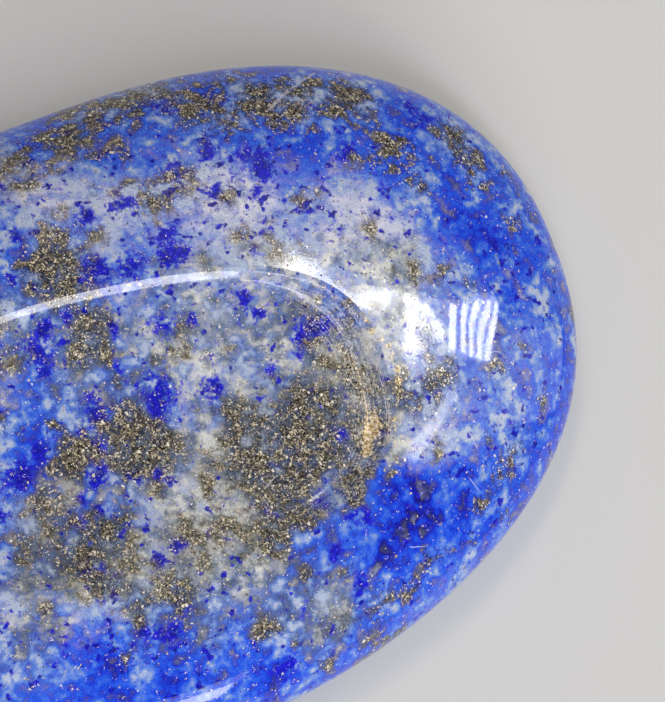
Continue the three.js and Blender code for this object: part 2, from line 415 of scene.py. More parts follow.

# %% [markdown]
# ## Where the minerals lie
#
# Lapis lazuli is a rock of several minerals. Lazurite gives the blue, deep in some places and clear cobalt
# in others. Calcite lies in it as pale clouds and thin white veils, and diopside dulls it to grey. The veils
# also carry a painted reflection, a soft lilac lightening over the far shoulder and the right end. Brown
# patches carry the brassy specks of pyrite, and one seam of it shines gold, partly with a painted warm
# reflection on the wall at the hollow's head.
#
# Noise alone would scatter all of this evenly and look like no stone in particular. So each mineral gets a
# short list of soft clouds, each given as x and y in millimetres, how far the cloud reaches, and how
# strong it is. The noise in the material frays their edges later.

# %% Clouds of pyrite in its brown matrix: x, y, reach, strength
PYRITE_CLOUDS = (
    # the streaked band along the +Y shoulder, first broad and then in patches
    (-1, 12.5, 1.2, 0.3), (2.5, 13.2, 1.4, 0.35), (5.5, 13.7, 1.2, 0.4), (8.5, 12.8, 1.2, 0.35),
    (11, 11.8, 1.2, 0.35), (13.5, 11, 1.1, 0.4), (15.5, 10, 1.0, 0.35), (7, 14.5, 0.8, 0.4),
    (3, 14.3, 0.8, 0.35), (10.5, 13.3, 0.8, 0.35), (4.5, 14, 0.8, 1.0), (6.5, 14, 0.5, 0.8),
    (2.5, 13.5, 0.5, 0.5), (8, 12.5, 0.8, 0.6), (9.5, 11.5, 0.8, 0.8), (11.5, 11.5, 0.7, 0.8),
    (13, 11.5, 0.7, 0.9), (12, 10.5, 0.6, 0.8), (14.5, 11.5, 0.6, 0.7), (16, 10, 0.8, 0.6),
    (16, 11, 0.4, 0.5), (3.5, 11.5, 0.5, 0.3), (-1, 13, 0.6, 0.7), (1.5, 12.5, 0.8, 0.6),
    (-1, 11.5, 0.3, 0.5),
    # islands between the band and the hollow
    (1.5, 10, 0.3, 0.5), (3, 9.5, 0.4, 0.7), (4, 8.5, 0.6, 0.9), (5.5, 9, 0.6, 0.9), (-1, 9.5, 0.4, 0.7),
    (0, 9.5, 0.3, 0.4), (-1.5, 8, 0.9, 0.9), (-1.5, 6.5, 0.8, 1.0), (-2.5, 7.5, 0.6, 0.8), (1, 8, 0.4, 0.6),
    (7.5, 7.5, 0.4, 0.7), (5, 5, 0.4, 0.7), (3, 6, 0.3, 0.5), (7, 5.5, 0.4, 0.7), (8.5, 4.5, 0.5, 0.7),
    (9.5, 4, 0.3, 0.7), (10.5, 6.5, 0.3, 0.5), (9, 6, 0.3, 0.5), (7.5, 10.5, 0.4, 0.3), (11, 6, 0.4, 0.5),
    (13, 3.5, 0.6, 0.6),
    # the +X shoulder
    (16.5, 7, 0.7, 0.9), (15, 7, 0.4, 0.5), (14, 7, 0.4, 0.4), (16.5, 5, 0.6, 0.7), (20, 6.5, 0.7, 0.7),
    (20, 5, 0.7, 0.7), (20, 4, 0.4, 0.5), (22, 4.5, 0.3, 0.6), (21, 2, 0.5, 0.5), (22, 1.5, 0.4, 0.4),
    (20.5, 0.5, 0.3, 0.5), (14.5, 1.5, 0.6, 0.9), (16, 0.5, 0.4, 0.5), (17, -0.5, 0.4, 0.6),
    (22, -1, 0.3, 0.6), (22.5, -3, 0.3, 0.5), (14, -3.5, 0.5, 0.7), (13.5, -4, 0.4, 0.7),
    (12.5, -5, 0.4, 0.5), (16.5, -4.5, 0.4, 0.6), (18.5, -4, 0.3, 0.4), (18.5, -6.5, 0.3, 0.6),
    (16, -8.5, 0.3, 0.6), (14.5, -7.5, 0.3, 0.6), (12, -7, 0.5, 0.6), (15, -9, 0.5, 0.6),
    (13.5, -10, 0.4, 0.7), (14.5, -11, 0.3, 0.6), (12.5, -11.5, 0.3, 0.5), (11, -11.5, 0.3, 0.5),
    # inside the hollow, from its -X end to its wall
    (-1, 4.5, 0.4, 0.8), (-1.5, 4, 0.4, 0.8), (-2, 3.5, 0.4, 0.6), (-1.5, 3, 0.5, 0.7), (-4.5, 4, 0.4, 0.5),
    (3, 2.5, 0.5, 0.6), (2.5, 1.5, 0.4, 0.5), (1, 1.5, 0.4, 0.4), (-1, 1.5, 0.4, 0.5), (-1.5, -1, 0.8, 0.8),
    (-1, -2, 0.7, 0.9), (0, -2, 0.6, 0.9), (-2, -2, 0.4, 0.9), (-4.5, -1, 0.5, 0.8), (-3, -0.5, 0.6, 0.6),
    (-1, -0.5, 0.5, 0.8), (-4.5, 0.5, 0.3, 0.6), (-6.5, 1.5, 0.4, 0.4), (4, -2, 0.7, 0.9),
    (3.5, -3, 0.7, 0.9), (5.5, -3, 0.7, 0.9), (6, -4, 0.7, 0.9), (7, -3, 0.6, 0.7), (6, -1, 0.3, 0.6),
    (4.5, 1, 0.3, 0.5), (3.5, -4.5, 0.7, 0.8), (1.5, -4, 0.6, 0.7), (1, -4.5, 0.4, 0.7),
    (5, -5.5, 0.7, 0.9), (7, -4, 0.6, 0.8), (6.5, -5.5, 0.6, 0.7), (7.5, -2, 0.5, 0.5), (8, -3, 0.4, 0.6),
    (7.5, -5, 0.5, 0.6), (2.5, -5, 0.6, 0.6), (-4.5, -1.5, 0.5, 0.6), (-2, -3, 0.6, 0.8),
    (9.5, -7, 0.3, 0.6), (8, -6.5, 0.4, 1.0), (11.5, -3, 0.3, 0.7), (7, -7.5, 0.4, 0.6),
    (4.5, -7.5, 0.5, 0.6), (3, -6.5, 0.8, 0.7), (4, -6.5, 0.6, 0.6), (9, -4, 0.6, 0.7), (9.5, -5, 0.5, 0.8),
    (8.5, -5.5, 0.5, 0.7), (10, -1.5, 0.5, 0.5), (11, -4, 0.4, 0.7), (9.5, -2.5, 0.4, 0.6),
    (12, -4, 0.5, 0.5), (10.5, 0, 0.4, 0.4), (12, 0.5, 0.4, 0.4), (8.5, 0, 0.4, 0.5), (9.8, -1.5, 0.7, 0.6),
    (10.2, -3, 0.7, 0.6), (9.2, 0.8, 0.6, 0.6), (10.4, 1, 0.5, 0.6), (8.6, -1, 0.6, 0.5),
    # the -Y shoulder
    (-6.5, -2.5, 0.7, 0.7), (-8, -4, 0.5, 0.6), (-6.5, -5.5, 0.6, 0.7), (-4, -4.5, 0.7, 0.9),
    (-4, -5.5, 0.5, 0.9), (-5.5, -5.5, 0.6, 0.8), (-6, -3.5, 0.6, 0.4), (-1, -6, 0.6, 0.8),
    (-1, -7.5, 0.4, 0.8), (-3, -7.5, 0.4, 0.7), (-5.5, -7, 0.7, 1.0), (-4, -8, 0.4, 0.9),
    (-4.5, -9, 0.3, 0.9), (-2.5, -8.5, 0.7, 0.8), (1, -7, 0.7, 0.7), (2.5, -7.5, 0.7, 1.0),
    (-8.5, -7, 0.3, 0.6), (1, -11.5, 0.4, 0.7), (2, -12.5, 0.3, 0.8), (0.5, -8.5, 0.4, 0.4),
    (-5.5, -10, 0.4, 0.4), (-5, -11, 0.3, 0.4), (3.5, -10, 0.3, 0.7), (5.5, -10.5, 0.2, 0.5),
    (10, -11.5, 0.4, 0.7), (8.5, -12.5, 0.5, 0.6), (7, -12.5, 0.4, 0.6), (4.5, -12.5, 0.4, 0.5),
    (7.5, -14, 0.4, 0.5), (3.5, -14, 0.4, 0.5), (6, -14, 0.5, 0.4),
)
print("Pyrite clouds placed by hand:", len(PYRITE_CLOUDS))

# %% Where the gold seam runs, with a painted warm reflection along it
GOLD_SEAM_AND_REFLECTION = (
    # along the crest of the wall at the hollow's head
    (11, 0.6, 0.16, 0.6), (11.1, 0.2, 0.16, 0.7), (11.15, -0.2, 0.16, 0.7), (11.2, -0.7, 0.16, 0.6),
    (11.25, -1.2, 0.16, 0.7), (11.3, -1.7, 0.16, 0.7), (11.35, -2.2, 0.16, 0.8), (11.35, -2.7, 0.18, 0.9),
    (11.3, -3.2, 0.2, 0.8), (11.2, -3.7, 0.16, 0.6),
    # the two streaks that run down from it
    (9.8, -4.3, 0.2, 0.8), (9.65, -4.6, 0.24, 0.9), (9.4, -4.9, 0.26, 1.0), (9.15, -5.2, 0.26, 1.0),
    (8.9, -5.5, 0.26, 0.9), (8.65, -5.8, 0.24, 0.9), (8.45, -6.1, 0.2, 0.8), (10.55, -4.6, 0.14, 0.8),
    (10.35, -5, 0.15, 0.9), (10.15, -5.4, 0.15, 0.8), (9.95, -5.8, 0.14, 0.8), (9.75, -6.2, 0.12, 0.7),
)
print("Clouds of the gold seam:", len(GOLD_SEAM_AND_REFLECTION))

# %% Blots of ink-blue lazurite
INK_BLOTS = (
    (7.5, 10, 0.5, 0.9), (9, 9.5, 0.3, 0.7), (9.5, 8.5, 0.7, 0.8), (0.5, 9, 0.4, 0.9), (2.5, 9, 0.3, 0.9),
    (7, 8, 0.3, 1.0), (8.5, 7.5, 0.2, 0.8), (5.5, 9.5, 0.4, 0.8), (4, 7, 0.3, 0.9), (3, 7, 0.3, 0.9),
    (3.5, 6, 0.4, 1.0), (0, 6.5, 0.6, 0.8), (1.5, 6, 0.5, 0.7), (4, 5.5, 0.3, 0.8), (-3, 9.5, 0.4, 0.8),
    (-3, 8.5, 0.3, 0.8), (-4, 7.5, 0.3, 0.9), (7.5, 4.5, 0.3, 0.6), (8.5, 6, 0.2, 0.5), (4, 13, 0.2, 0.7),
    (9.5, 12.5, 0.5, 0.7), (7, 13, 0.6, 0.6), (6, 3, 0.4, 1.0), (-3.5, 5, 0.3, 1.0), (-2, 5, 0.4, 0.8),
    (-0.5, 4, 0.4, 1.0), (-4, 4, 0.5, 0.8), (-4, 3, 0.4, 0.8), (2, 3, 0.5, 0.6), (3.5, 3, 0.3, 0.8),
    (6.5, 2, 0.3, 0.8), (6, -0.5, 0.2, 0.9), (0.5, 0, 0.9, 0.7), (0, -0.5, 0.4, 0.7), (3, -0.5, 0.4, 0.9),
    (-2.5, 0.5, 0.5, 0.9), (-2.5, 1.5, 0.3, 0.8), (-3.5, 0, 0.2, 0.9), (-5.5, 0, 0.6, 0.9),
    (-7, -1, 0.6, 0.8), (-3.5, -2, 0.4, 0.9), (-1, -3, 0.3, 1.0), (-0.5, -3.5, 0.2, 0.9),
    (-2, -3, 0.3, 0.9), (-0.5, 2, 0.3, 0.7), (-3, -1, 0.5, 0.8), (8, 0.5, 0.4, 0.7), (7, 2, 0.2, 0.7),
    (7.5, -0.5, 0.3, 0.7), (-4, -3.5, 0.3, 0.9), (-5, -3, 0.3, 0.9), (-5.5, -4, 0.3, 0.9),
    (-2.5, -7, 0.4, 1.2), (-1.5, -6.5, 0.2, 1.0), (0, -6.5, 0.2, 1.0), (3, -6.5, 0.3, 0.8),
    (-6, -6, 0.3, 0.9), (-5, -6.5, 0.3, 0.6), (-6, -8.5, 0.2, 0.9), (-4.5, -9.5, 0.4, 0.9),
    (-3.5, -10, 0.4, 0.9), (-2.5, -9.5, 0.2, 0.8), (9, 0.5, 0.5, 0.9), (9, -3, 0.2, 0.8),
    (8, -4.5, 0.4, 0.7), (9, 2, 0.2, 0.7), (12.5, 7, 0.2, 0.9), (15, 5.5, 0.2, 0.9), (15, 6.5, 0.2, 0.7),
    (14, 7.5, 0.4, 0.7), (15, 3.5, 0.2, 0.6), (11, 4.5, 0.2, 0.6), (18.5, 9, 0.4, 0.7), (19, 8, 0.4, 0.7),
    (13.5, 10.5, 0.4, 0.6), (5.5, -9.5, 0.3, 0.8), (7, -8.5, 0.4, 0.7), (5.5, -7, 0.4, 0.6),
    (6, -11.5, 0.4, 0.8), (3, -11.5, 0.3, 0.7), (9.5, -5.5, 0.2, 0.6), (11, -5.5, 0.2, 0.4),
    (19.5, 1.5, 0.3, 0.5), (-8, -9, 0.4, 0.4), (1.5, -13.5, 0.5, 0.7), (15.5, -9, 0.2, 0.4),
)
print("Ink blots placed by hand:", len(INK_BLOTS))

# %% Clouds of calcite
CALCITE_CLOUDS = (
    (8.5, 7.5, 1.4, 0.6), (6.5, 8.5, 0.9, 0.8), (7.5, 6.5, 1.4, 0.7), (4.5, 7, 1.0, 0.5),
    (2.5, 8.5, 0.9, 0.5), (13.5, 4, 1.2, 0.8), (12.5, 6, 1.0, 0.6), (11, 3.5, 1.2, 0.7), (14, 2, 0.9, 0.7),
    (12, 2, 1.0, 0.7), (9, 3, 1.0, 0.5), (-1.5, 10, 1.0, 0.4), (0, 10.5, 0.7, 0.4), (1, 7.5, 0.5, 0.6),
    (4.5, 4.5, 1.0, 0.4), (0.5, -5, 1.2, 0.8), (1.5, -6, 1.0, 0.9), (-2.5, -6, 1.0, 0.7),
    (-3.5, -6.5, 0.7, 0.9), (-1, -5, 1.0, 0.8), (-1.5, -8, 0.8, 0.6), (-0.5, -7.5, 0.7, 0.7),
    (-9, -6, 0.9, 0.7), (-7, -7, 0.9, 0.7), (-5.5, -8, 0.6, 0.7), (-7.5, -3, 0.9, 0.7), (-10, -6, 0.7, 0.6),
    (4.5, -11.5, 0.9, 0.6), (1.5, -9, 0.8, 0.5), (0, -9, 1.0, 0.4), (-5.5, -2.5, 0.6, 0.5),
    (-3.5, -3, 0.5, 0.5), (1.5, 2.5, 1.0, 0.5), (0.5, 3.5, 0.8, 0.5), (-2.5, 2.5, 0.9, 0.6),
    (2.5, 0.5, 1.0, 0.6), (4.5, 0, 1.0, 0.7), (6.5, 0, 0.8, 0.7), (5, -1.5, 0.6, 0.7),
    (1.5, -1.5, 0.9, 0.7), (2, -2.5, 0.7, 0.8), (7.5, -1, 0.6, 0.6), (4.5, 2.5, 1.0, 0.5),
    (0.5, 5, 0.7, 0.5), (3.5, 4, 0.9, 0.4), (6.5, 1.5, 0.7, 0.5), (9, -1.5, 0.6, 0.6), (10.5, -2, 0.6, 0.8),
    (10, -3.5, 0.5, 0.6), (7, -6.5, 0.6, 0.5), (5.5, -7, 0.6, 0.5), (13, 0, 1.0, 0.6), (-5.5, 3, 0.8, 0.5),
    (-4, 5, 0.5, 0.5), (-5.5, 5, 0.6, 0.4), (4.5, -4, 0.6, 0.5), (9, -1, 1.0, 0.6), (9.5, -3, 0.9, 0.7),
    (8.5, -4.5, 0.7, 0.5), (11, -5, 0.7, 0.6), (12, -2.5, 0.9, 0.7), (13, -1.5, 0.9, 0.6),
    (11, -1, 0.9, 0.6), (12.2, 0.8, 1.0, 0.7), (-3.2, -7, 1.0, 0.8), (0, -5.5, 1.2, 0.6), (7, 4, 1.2, 0.6),
    (9.5, 3.2, 1.1, 0.6), (4.5, 4.5, 1.0, 0.4), (-1, -4.5, 1.2, 0.8), (0.4, -6, 1.2, 0.8),
    (-3.5, -6.6, 0.9, 0.8), (13.7, 2, 1.2, 0.8), (10, -6.2, 0.9, 0.7), (12, -6.6, 1.0, 0.5),
    (-1, 10.8, 1.4, 0.4), (1.5, 9.5, 1.4, 0.4),
)
print("Calcite clouds placed by hand:", len(CALCITE_CLOUDS))

# %% Pools of deeper cobalt blue
COBALT_POOLS = (
    (10, -9, 1.6, 0.75), (12.5, -8.5, 0.7, 0.7), (7.5, -10, 1.0, 0.8), (9.5, -7.5, 0.8, 0.6),
    (19, 1, 1.2, 0.8), (18, 3, 0.9, 0.8), (19, -1.5, 0.9, 0.7), (17.5, 7, 1.2, 0.4), (18, 5, 0.8, 0.5),
    (11, 8.5, 1.6, 0.5), (9, 9.5, 1.2, 0.4), (13, 8.5, 1.0, 0.4), (-3.5, -11, 1.9, 0.8),
    (-0.5, -11.5, 1.2, 0.8), (-6.5, -10, 1.2, 0.7), (-8, -8, 1.0, 0.6), (4, -9, 1.0, 0.6),
    (1, -13, 1.0, 0.7), (18, -8, 1.0, 0.7), (20.5, -4.5, 0.9, 0.6), (22, 0, 0.8, 0.5), (20, -0.5, 0.7, 0.6),
    (3, 11, 0.8, 0.6), (0, 13, 0.8, 0.4), (-2.5, 7.5, 0.6, 0.4), (-2.5, 0.5, 0.9, 0.6), (-5.5, 0, 0.9, 0.7),
    (0.5, 0, 1.0, 0.5), (12.5, -10.5, 1.0, 0.6), (10.5, -13.5, 1.0, 0.6), (5.5, -12, 0.6, 0.6),
    (2, 14, 0.7, 0.5), (6.5, 13, 0.8, 0.6), (15.5, 9.5, 0.9, 0.5), (10, 13, 1.0, 0.5), (-6.5, -1, 0.9, 0.7),
    (16, -6, 1.0, 0.4), (18, -5.5, 0.8, 0.4), (5, 10.5, 0.8, 0.5), (8.5, 11, 0.8, 0.3),
    (-3.5, 3.5, 1.3, 0.6), (-1.5, 2.5, 1.0, 0.4), (-5, 2, 1.2, 0.5),
)
print("Cobalt pools placed by hand:", len(COBALT_POOLS))

# %% Thin veils of calcite, partly a painted reflection over the far shoulder and the right end
CALCITE_AND_REFLECTION_VEILS = (
    (0, 10.5, 2.2, 0.6), (-0.5, 12, 1.6, 0.4), (3, 9.5, 2.4, 0.7), (6.5, 8.5, 2.2, 0.9),
    (7.5, 6.5, 2.0, 0.9), (10.5, 6, 1.8, 0.8), (13, 4.5, 1.8, 0.8), (14.5, 3, 1.5, 0.7),
    (13.5, -5, 1.6, 0.6), (12, -6.5, 1.3, 0.5), (16, -5.5, 2.0, 0.7), (18.5, -4, 2.0, 0.6),
    (20.5, -2, 1.8, 0.6), (23, -0.5, 1.2, 0.6), (15.5, -7.5, 1.3, 0.4), (18, -8, 1.5, 0.5),
    (-4.5, -10.5, 2.0, 0.25), (-8.5, -9, 2.0, 0.3), (0, -11.5, 1.8, 0.4), (4, -13, 1.6, 0.5),
    (9, -13.5, 1.5, 0.5), (12, -12.5, 1.6, 0.6), (3, 1.5, 2.0, 0.4), (-3, 4, 1.5, 0.5), (2, 7, 2.0, 0.5),
    (1, -6, 1.8, 0.7), (0.5, -8, 1.6, 0.6), (13, -1, 1.5, 0.6), (18, 3.5, 1.6, 0.5), (16.5, 0.5, 1.5, 0.6),
    (19.5, -0.5, 1.5, 0.5), (5, 11, 1.6, 0.5), (7.5, 10, 1.6, 0.5), (10.5, 9, 1.6, 0.5),
    (13.5, 8, 1.6, 0.6), (-7, -8.5, 1.5, 0.5), (-1.7, -10.6, 1.5, 0.5), (12.6, -7, 1.4, 0.8),
    (16.3, 0.6, 1.2, 0.5), (19.5, -0.3, 1.2, 0.5),
)
print("Calcite veils placed by hand:", len(CALCITE_AND_REFLECTION_VEILS))

# %% Grey veils of diopside
DIOPSIDE_VEILS = (
    (3, 0, 2.6, 0.5), (6, 0, 2.4, 0.6), (9, -1, 2.2, 0.6), (6.5, -3.5, 2.6, 0.6), (8.5, -5, 2.2, 0.6),
    (10, -4.5, 2.0, 0.6), (2.5, -6, 2.4, 0.6), (-0.5, -5.5, 2.4, 0.6), (-4, -6.5, 2.2, 0.7),
    (-7, -5, 2.2, 0.7), (-3.5, -2, 1.8, 0.5), (4.5, -6.5, 2.2, 0.5), (-1.5, 7, 1.5, 0.4), (0, 5, 1.4, 0.4),
    (-1, -9.5, 1.6, 0.4), (4.5, -11.5, 1.8, 0.5), (2, -9.5, 1.8, 0.5), (-6.5, -2, 1.6, 0.4),
    (9, -2.5, 1.8, 0.5), (11, -2, 1.2, 0.7), (2, 13, 1.6, 0.5), (7, 13.5, 1.4, 0.5), (11, 12.5, 1.2, 0.5),
    (15.5, 9.5, 1.6, 0.4), (19, 6.5, 1.4, 0.4), (22, 3, 1.0, 0.4), (-2, 11.5, 1.6, 0.4), (-4, 5, 2.0, 0.5),
    (-1.5, 4, 1.8, 0.6), (-5, 2.5, 1.6, 0.4), (-2.5, 1.5, 1.8, 0.7), (0.5, 0.5, 1.6, 0.6),
    (-3.5, -1, 1.8, 0.5), (-1, -2, 1.8, 0.7), (2, -3, 1.8, 0.6), (6, -7.5, 1.6, 0.5),
    (-1.5, -10.5, 1.8, 0.6), (1, -11.5, 1.8, 0.6), (4, -12.5, 1.6, 0.7), (-9.5, -7.5, 1.8, 0.5),
    (7.5, -11, 1.6, 0.3), (2.5, 5, 1.5, 0.5), (4.5, 4.5, 1.7, 0.6), (7, 4, 1.7, 0.7), (9.5, 3.2, 1.6, 0.6),
    (12, 2.5, 1.5, 0.6), (12.5, 0.5, 1.6, 0.8), (13.5, -1.5, 1.3, 0.7), (6.5, 1.5, 1.5, 0.8),
    (4, 2.3, 1.5, 0.7), (8.5, 0.5, 1.3, 0.7), (17.5, -3, 2.4, 0.2), (17, -6, 2.2, 0.25), (-8, -5.5, 2, 0.5),
    (-3, 2.5, 1.6, 0.4), (-4, 5, 1.6, 0.5), (1.5, 3, 1.6, 0.5), (7.5, 1.5, 1.2, 0.6),
    (-0.7, -8.1, 1.6, 0.6), (2, -8.8, 1.5, 0.5), (-9.4, -7.4, 1.6, 0.4), (-4.3, -9.5, 1.5, 0.6),
    (14, 2, 1.3, 0.7), (10, -6.2, 1.0, 0.8), (13.8, -4.7, 1.2, 0.3), (-3.5, 4.2, 1.6, 0.6),
    (-1, 3.4, 1.4, 0.5), (0.3, 0.6, 1.4, 0.4), (-4.2, -9.7, 1.4, 0.5), (3.5, -10.5, 1.6, 0.4),
)
print("Diopside veils placed by hand:", len(DIOPSIDE_VEILS))

# %% [markdown]
# The rest of the stone, its far end and its underside, gets clouds of the same kinds at the same density,
# drawn with a fixed seed so that every run makes the same stone. A cloud is a ball in space, so one that
# sits near the girdle shows on both sides of it, as it does in real rock.

# %% Put the clouds on the crown, and measure the surface


def placed(clouds):
    """Listed clouds as rows of x, y, z, reach and strength, in metres on the crown."""
    rows = np.array(clouds) * (MM, MM, MM, 1)
    x, y = rows[:, 0], rows[:, 1] + PLAN_MIDDLE
    z = crown_height(x, y)
    return np.stack([rows[:, 0], rows[:, 1], z, rows[:, 2], rows[:, 3]], axis=1)


def area_of_points():
    """The share of the surface that belongs to each point, so that crowded rings don't draw more."""
    areas = np.zeros(len(surface))
    for polygon in stone.data.polygons:
        areas[polygon.vertices[0]] += polygon.area
    return areas


point_area = area_of_points()
print("Surface, mm2:", round(point_area.sum() / MM ** 2))

# %% Scatter clouds where none was listed
PLACED_EDGE_X = -7.6 * MM
PLACED_EDGE_SLANT = 0.455
REACH_SPREAD = (0.7, 1.5)


def scattered(count, like):
    """Clouds at random points past the slanting edge of the placed ones, and sized like those."""
    far_end = surface[:, 0] < PLACED_EDGE_X + PLACED_EDGE_SLANT * surface[:, 1]
    below = surface[:, 2] < GIRDLE_HEIGHT
    weight = np.where(far_end | below, point_area, 0)
    picks = rng.choice(len(surface), size=count, p=weight / weight.sum())
    kin = like[rng.integers(0, len(like), count)]
    reach = kin[:, 3] * rng.uniform(*REACH_SPREAD, count)
    return np.column_stack([surface[picks], reach, kin[:, 4]])


# %% Gather the clouds of each mineral
MINERALS = (
    # its name, its listed clouds, and how many more are scattered
    ("pyrite", PYRITE_CLOUDS, 340),
    ("ink", INK_BLOTS, 210),
    ("calcite", CALCITE_CLOUDS, 140),
    ("cobalt", COBALT_POOLS, 95),
    ("veil", CALCITE_AND_REFLECTION_VEILS, 70),
    ("haze", DIOPSIDE_VEILS, 60),
    ("seam", GOLD_SEAM_AND_REFLECTION, 0),
)
clouds = {}
for mineral, hand, count in MINERALS:
    by_hand = placed(hand)
    clouds[mineral] = np.concatenate([by_hand, scattered(count, by_hand)])
    print(mineral, "clouds:", len(clouds[mineral]))

# %% [markdown]
# A cloud with a round edge looks stamped. Before the distances are taken, every point of the surface is
# pushed about by a few sine waves, which bends all the outlines at once. The clouds are then laid over each
# other like glazes: where two overlap the result gets stronger but never passes one.

# %% Write each mineral's strength to the mesh as an attribute
WANDER_COUNT = 10
WANDER_LENGTHS = (0.9 * MM, 3.2 * MM)
WANDER_REACH = 0.075 * MM
COVERED = 0.4


def wander(points):
    """The points, each pushed about by the same few sine waves."""
    moved = points.copy()
    for _ in range(WANDER_COUNT):
        heading = rng.normal(size=3)
        heading /= np.linalg.norm(heading)
        push = rng.normal(size=3)
        pitch = rng.uniform(*WANDER_LENGTHS)
        phase = points @ heading * FULL_TURN / pitch + rng.uniform(0, FULL_TURN)
        moved += np.outer(np.sin(phase), push) * WANDER_REACH
    return moved


def glaze(points, rows, spread):
    """Strength of a mineral at each point, from 0 to 1."""
    bare = np.ones(len(points))
    for x, y, z, reach, strength in rows:
        apart = ((points - (x, y, z)) ** 2).sum(axis=1)
        bare *= 1 - min(strength, 1) * np.exp(-apart / (spread * reach) ** 2)
    return 1 - bare


def keep_on_mesh(name, values):
    """Writes values to the mesh as an attribute that the material can read."""
    field = stone.data.attributes.new(name, "FLOAT", "POINT")
    field.data.foreach_set("value", values.astype(np.float32))
    print(name, "covers", round(float((values > COVERED).mean()), 3), "of the points")


bent = wander(surface)
SPREADS = {"pyrite": 1.45, "ink": 1.2, "calcite": 1.35, "cobalt": 1.2, "veil": 1.0, "haze": 1.0, "seam": 1.0}
for mineral, rows in clouds.items():
    keep_on_mesh(mineral, glaze(bent, rows, SPREADS[mineral]))

# %% [markdown]
# The wheel's marks come last, but they have to know where the end wall is. That follows from the hollow's
# own shares, so two more values are kept: how far out in the hollow a point lies, and how much it belongs
# to the wall at the head.

# %% The hollow's end wall, for its wheel marks
crown_points = surface[:, 2] > GIRDLE_HEIGHT
plan_points_y = surface[:, 1] + PLAN_MIDDLE
in_hollow = hollow_share(surface[:, 0], plan_points_y)
keep_on_mesh("wall_depth", in_hollow)
WALL_STARTS = 0.86
WALL_ENDS = 1.0
on_wall = (in_hollow > WALL_STARTS) & (in_hollow < WALL_ENDS) & crown_points
keep_on_mesh("wall", np.where(on_wall, head_share(surface[:, 0], plan_points_y), 0))

# %% [markdown]
# ## Shader sums as Python
#
# The stone's material is a long sum, and a node tree of it is easier to write than to wire. One small class
# wraps a socket. Adding or multiplying wrapped sockets adds the Math nodes, and `1 - mask` works too.
# Colours go through Mix nodes, since a Math node would turn them grey. Every other node comes from one
# method, which takes the node's type, its settings and what goes into its sockets.

# %% A socket that can be used in sums


class Shade:
    """One socket of a material's node tree."""

    def __init__(self, tree, socket=None):
        self.tree = tree
        self.socket = socket

    def node(self, kind, settings=None, inputs=None, output=0):
        """Adds a node: first its settings, then the values or links of its sockets."""
        made = self.tree.nodes.new(kind)
        for name, value in (settings or {}).items():
            if name == "stops":
                set_stops(made.color_ramp, value)
            else:
                setattr(made, name, value)
        for name, value in (inputs or {}).items():
            if isinstance(value, Shade):
                self.tree.links.new(value.socket, made.inputs[name])
            else:
                made.inputs[name].default_value = value
        return Shade(self.tree, made.outputs[output])

    def twin(self, output):
        """Another output of the same node."""
        return Shade(self.tree, self.socket.node.outputs[output])

    def sum_node(self, operation, first, second):
        return self.node("ShaderNodeMath", {"operation": operation}, {0: first, 1: second})

    def __add__(self, other):
        return self.sum_node("ADD", self, other)

    def __radd__(self, other):
        return self.sum_node("ADD", other, self)

    def __sub__(self, other):
        return self.sum_node("SUBTRACT", self, other)

    def __rsub__(self, other):
        return self.sum_node("SUBTRACT", other, self)

    def __mul__(self, other):
        return self.sum_node("MULTIPLY", self, other)

    def __rmul__(self, other):
        return self.sum_node("MULTIPLY", other, self)

    def __lt__(self, other):
        return self.sum_node("LESS_THAN", self, other)

    def either(self, other):
        """The larger of the two."""
        return self.sum_node("MAXIMUM", self, other)

    def ease(self, low, high):
        """0 below low, 1 above high, and a soft step between them."""
        return self.node(
            "ShaderNodeMapRange",
            {"interpolation_type": "SMOOTHSTEP"},
            {"Value": self, "From Min": low, "From Max": high},
        )

    def ramp(self, stops):
        """The colour of a ramp at this value."""
        return self.node("ShaderNodeValToRGB", {"stops": stops}, {0: self})

    def over(self, under, upper):
        """The upper colour laid over the under one, with this value as its cover."""
        return self.node("ShaderNodeMix", {"data_type": "RGBA"}, {0: self, 6: under, 7: upper}, 2)


# %% Ramps and colours


def set_stops(ramp, stops):
    """Gives a colour ramp its stops, each a place and a colour."""
    for place, _ in stops[2:]:
        ramp.elements.new(place)
    for element, (place, colour) in zip(ramp.elements, stops):
        element.position = place
        element.color = colour


def tint(red, green, blue):
    """A colour given as the eye sees it, 0 to 255, turned into the linear one that a shader needs."""
    linear = []
    for part in (red, green, blue):
        share = part / 255
        linear.append(share / 12.92 if share <= 0.04045 else ((share + 0.055) / 1.055) ** 2.4)
    return (*linear, 1.0)


print("Middle grey as a shader needs it:", round(tint(128, 128, 128)[0], 3))

# %% [markdown]
# ## The rock
#
# Everything is measured in millimetres on the stone: the material reads Object coordinates and scales them
# up. Six noises are shared by all the minerals, with features from 3 mm down to a fifteenth of one. The
# coarse ones move the borders between the minerals and the fine ones fray them. Each mineral could have its
# own noises, but sharing them is cheaper and looks truer: where one mineral gives way, the next moves in.

# %% Start the material
lapis = bpy.data.materials.new("polished_lapis_lazuli")
lapis.use_nodes = True
tree = lapis.node_tree
tree.nodes.clear()
bench = Shade(tree)
MILLIMETRES = 1000.0
place = bench.node("ShaderNodeTexCoord", output="Object")
place = bench.node("ShaderNodeVectorMath", {"operation": "SCALE"}, {0: place, "Scale": MILLIMETRES})


def noise(scale, detail=1.0, roughness=0.5, shift=0.0):
    """Noise round zero, with so many features to the millimetre."""
    moved = bench.node("ShaderNodeVectorMath", {"operation": "ADD"}, {0: place, 1: (shift, shift, shift)})
    wave = bench.node(
        "ShaderNodeTexNoise",
        {"noise_dimensions": "3D"},
        {"Vector": moved, "Scale": scale, "Detail": detail, "Roughness": roughness},
        "Fac",
    )
    return wave - 0.5


